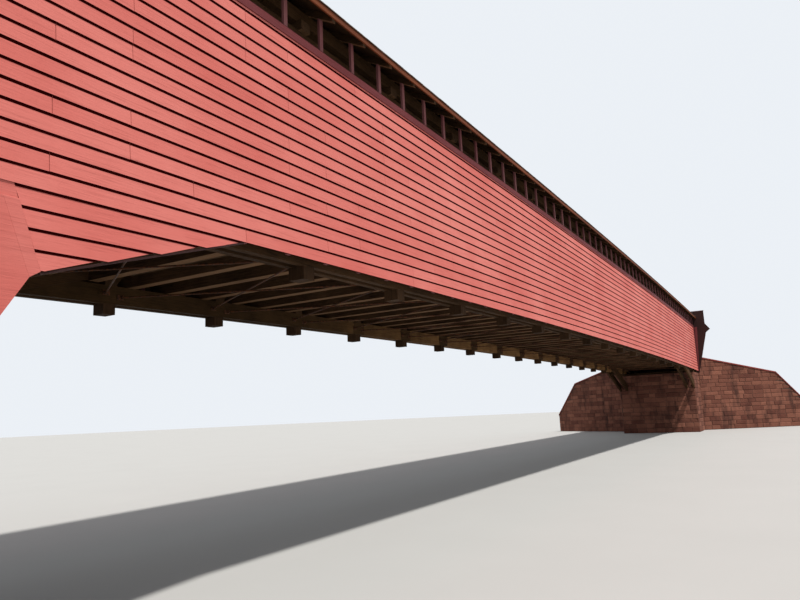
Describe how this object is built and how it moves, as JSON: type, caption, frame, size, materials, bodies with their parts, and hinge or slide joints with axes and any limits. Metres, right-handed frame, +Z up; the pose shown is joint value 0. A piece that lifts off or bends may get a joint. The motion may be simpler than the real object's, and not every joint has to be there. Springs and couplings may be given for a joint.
{
  "type": "covered bridge, a scale model at 1:2",
  "caption": "Half-size covered bridge: red lap boards on an arched timber truss, open eave strip, stepped fronts, stone abutments and wing walls.",
  "frame": {"origin": "middle of the span on the centre line, at the level of the abutments' feet", "axes": "+X along the bridge towards its far end, +Z up, so -Y is the pictured side"},
  "size_m": [36.494, 10.8262, 5.937],
  "materials": {
    "stone": "rough coursed red-brown sandstone, weathered",
    "coping": "red painted coping",
    "siding_red": "red painted boards, weathered",
    "trim_red": "dark red painted trim",
    "roof_edge": "rust brown board",
    "shingles": "weathered wooden shingles",
    "rod_iron": "dark iron, rusted",
    "deck_timber": "rough sawn planks",
    "floor_timber": "rough sawn timber, weathered",
    "frame_timber": "old dark timber"
  },
  "bodies": {
    "root": {"abutment_far": "stone", "abutment_near": "stone", "approach_far": "stone", "approach_near": "stone", "apron_back": "siding_red", "apron_front": "siding_red", "arches_back": "frame_timber", "arches_front": "frame_timber", "bolsters": "floor_timber", "braces_back": "frame_timber", "braces_front": "frame_timber", "cap_board_back": "trim_red", "cap_board_front": "trim_red", "corner_boards": "trim_red", "deck": "deck_timber", "fascia_back": "roof_edge", "fascia_front": "roof_edge", "floor_beams": "floor_timber", "floor_rods": "rod_iron", "knee_braces": "frame_timber", "lower_chord_back": "frame_timber", "lower_chord_front": "frame_timber", "portal_front_far": "siding_red", "portal_front_near": "siding_red", "portal_jambs_far": "siding_red", "portal_jambs_near": "siding_red", "posts_back": "frame_timber", "posts_front": "frame_timber", "rafters_back": "frame_timber", "rafters_front": "frame_timber", "raising_plates": "frame_timber", "ridge_cap": "shingles", "roof_back": "shingles", "roof_front": "shingles", "siding_back": "siding_red", "siding_front": "siding_red", "skirt_back": "siding_red", "skirt_front": "siding_red", "studs_back": "trim_red", "studs_front": "trim_red", "tie_beams": "frame_timber", "top_laterals": "frame_timber", "upper_chord_back": "frame_timber", "upper_chord_front": "frame_timber", "wing_copings_far": "coping", "wing_copings_near": "coping", "wing_walls_far": "stone", "wing_walls_near": "stone"}
  },
  "joints": []
}
